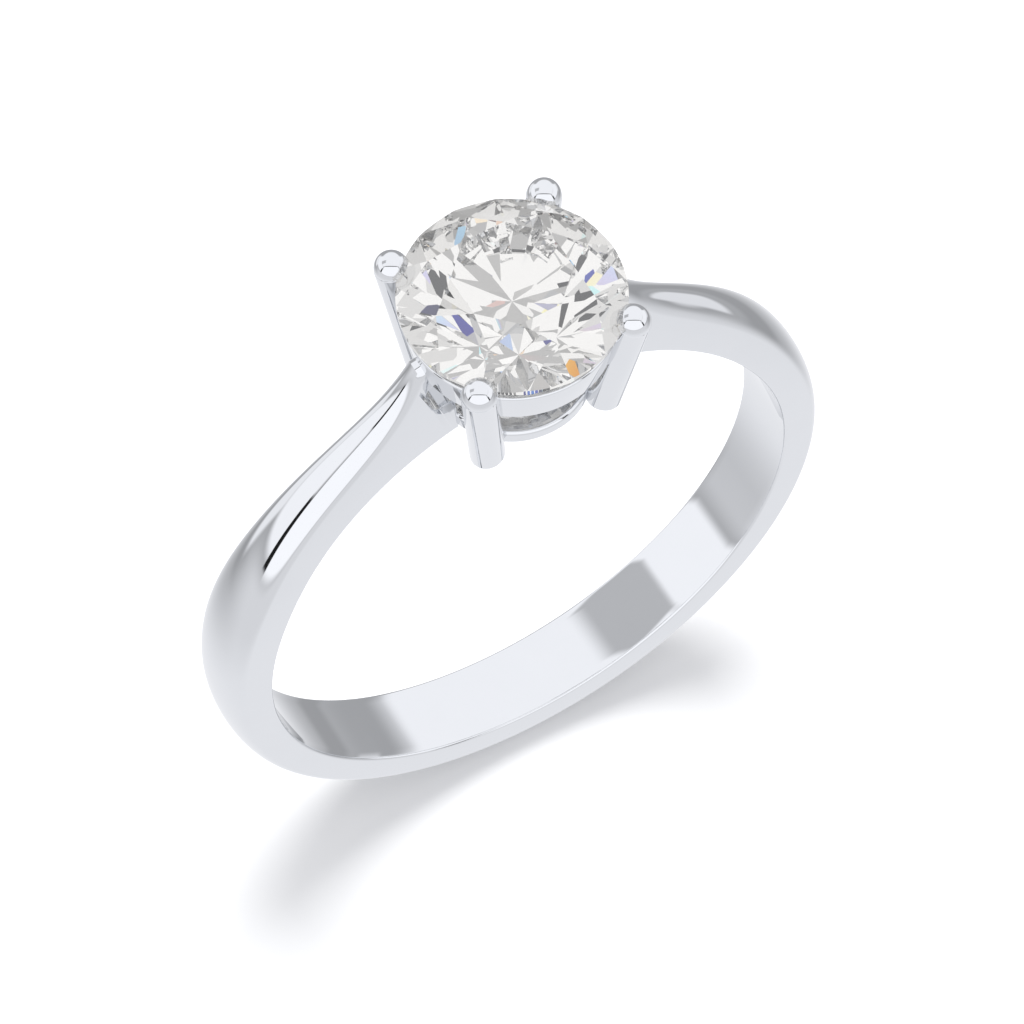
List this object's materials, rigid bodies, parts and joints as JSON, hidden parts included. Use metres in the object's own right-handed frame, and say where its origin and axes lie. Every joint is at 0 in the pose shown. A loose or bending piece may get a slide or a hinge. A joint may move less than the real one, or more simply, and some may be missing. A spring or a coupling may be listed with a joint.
{
  "type": "solitaire ring",
  "caption": "Plain tapered ring with cathedral shoulders and a prong basket head that holds a round brilliant-cut stone.",
  "frame": {"origin": "centre of the finger hole", "axes": "+X across the ring, +Y along the finger, +Z from the finger hole up through the stone"},
  "size_m": [0.0192, 0.0062, 0.0226],
  "materials": {
    "white_gold": "mirror-polished rhodium-plated white gold",
    "diamond": "polished facets, clear, refractive index 2.42"
  },
  "bodies": {
    "root": {"shank": "white_gold", "lower_gallery_rail": "white_gold", "upper_gallery_rail": "white_gold", "prong_front_left": "white_gold", "prong_front_right": "white_gold", "prong_back_right": "white_gold", "prong_back_left": "white_gold", "round_brilliant_stone": "diamond"}
  },
  "joints": []
}
